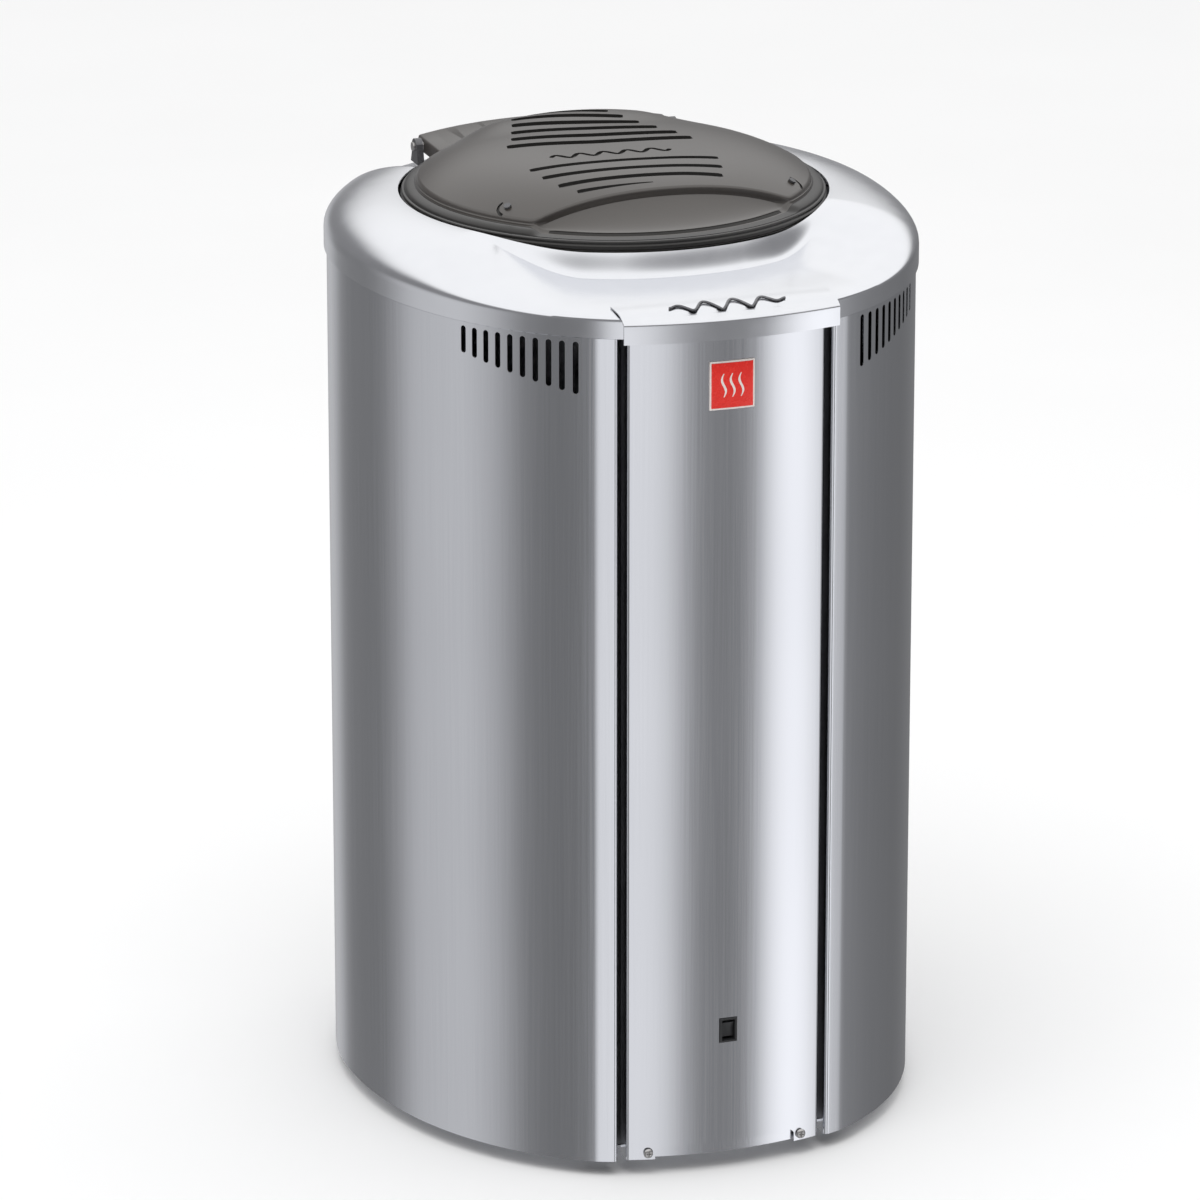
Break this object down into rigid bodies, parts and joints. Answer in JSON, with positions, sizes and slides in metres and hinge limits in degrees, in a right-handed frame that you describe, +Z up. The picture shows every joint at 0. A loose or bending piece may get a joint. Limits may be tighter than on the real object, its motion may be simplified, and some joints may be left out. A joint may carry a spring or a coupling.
{
  "type": "lidded sauna heater",
  "caption": "Free-standing electric sauna heater: brushed steel casing, domed collar and a hinged insulated lid over a stone tank.",
  "frame": {"origin": "centre of the bounding box's bottom, on the floor under the heater", "axes": "+Z up, the tallest way; +X to the heater's left-to-right as seen from the front, the narrowest way; front towards -Y, wall side towards +Y"},
  "size_m": [0.4906, 0.535, 0.817],
  "materials": {
    "casing_steel": "vertically brushed stainless sheet",
    "collar_steel": "satin stainless pressing",
    "ornament_chrome": "bright chrome",
    "badge_enamel": "glossy red enamel with a pale border",
    "galvanised_sheet": "dull zinc-coated sheet",
    "tank_steel": "plain stainless steel",
    "dark_fastener": "dark oxide-coated steel",
    "element_sheath": "heat-darkened element sheath",
    "black_rubber": "matt black rubber",
    "black_plastic": "matt black moulded plastic",
    "lid_plastic": "grained warm brown heat-proof plastic",
    "rim_plastic": "near-black moulded plastic",
    "mineral_wool": "pressed mineral wool",
    "brass": "plain brass",
    "board_green": "lacquered circuit board",
    "button_red": "red moulded button"
  },
  "bodies": {
    "root": {"base_plate": "casing_steel", "foot_front_left": "black_rubber", "foot_front_right": "black_rubber", "foot_rear_left": "black_rubber", "foot_rear_right": "black_rubber", "right_casing": "casing_steel", "left_casing": "casing_steel", "rear_panel": "galvanised_sheet", "front_upright_right": "dark_fastener", "front_upright_left": "dark_fastener", "front_panel": "casing_steel", "panel_screw_left": "tank_steel", "panel_screw_right": "tank_steel", "badge_plate": "badge_enamel", "switch_bezel": "black_plastic", "top_collar": "collar_steel", "front_visor": "collar_steel", "visor_ornament": "ornament_chrome", "lid_seat_ring": "tank_steel", "stone_tank": "tank_steel", "tank_insulation": "mineral_wool", "tank_base_insulation": "mineral_wool", "heat_shield": "galvanised_sheet", "element_plate": "galvanised_sheet", "heating_element_1": "element_sheath", "heating_element_2": "element_sheath", "heating_element_3": "element_sheath", "heating_element_4": "element_sheath", "tank_leg_1": "galvanised_sheet", "tank_leg_2": "galvanised_sheet", "tank_leg_3": "galvanised_sheet", "tank_leg_4": "galvanised_sheet", "temperature_sensor": "brass", "control_box": "galvanised_sheet", "terminal_block": "black_plastic", "contactor": "black_plastic", "control_board": "board_green", "overheat_limiter": "brass", "cable_gland": "black_plastic", "hinge_bracket_left": "dark_fastener", "hinge_bracket_right": "dark_fastener", "hinge_pin": "tank_steel", "lid_switch": "black_plastic"},
    "lid": {"lid_cover": "lid_plastic", "lid_rim": "rim_plastic", "lid_inner_pan": "tank_steel", "lid_insulation": "mineral_wool", "lid_gasket": "black_rubber", "lid_hinge_arm_left": "dark_fastener", "lid_hinge_arm_right": "dark_fastener", "lid_screw_left": "dark_fastener", "lid_screw_right": "dark_fastener"},
    "switch_rocker": {"power_rocker": "black_plastic"},
    "switch_plunger": {"lid_switch_plunger": "brass"},
    "limiter_button": {"reset_button": "button_red"}
  },
  "joints": [
    {"name": "lid_hinge", "type": "hinge", "parent": "root", "child": "lid", "pos_m": [0, 0.22, 0.779], "axis": [-1, 0, 0], "range_deg": [0, 92]},
    {"name": "power_switch", "type": "hinge", "parent": "root", "child": "switch_rocker", "pos_m": [0, -0.2475, 0.125], "axis": [-1, 0, 0], "range_deg": [0, 12]},
    {"name": "lid_sensing", "type": "slide", "parent": "root", "child": "switch_plunger", "axis": [0, 0, 1], "range_m": [0, 0.003]},
    {"name": "limiter_reset", "type": "slide", "parent": "root", "child": "limiter_button", "axis": [0, 0, 1], "range_m": [0, 0.002], "stiffness_N_per_m": 400}
  ],
  "couplings": [
    {"joint": "lid_sensing", "follows": "lid_hinge", "m_per_rad": 0.0018}
  ]
}
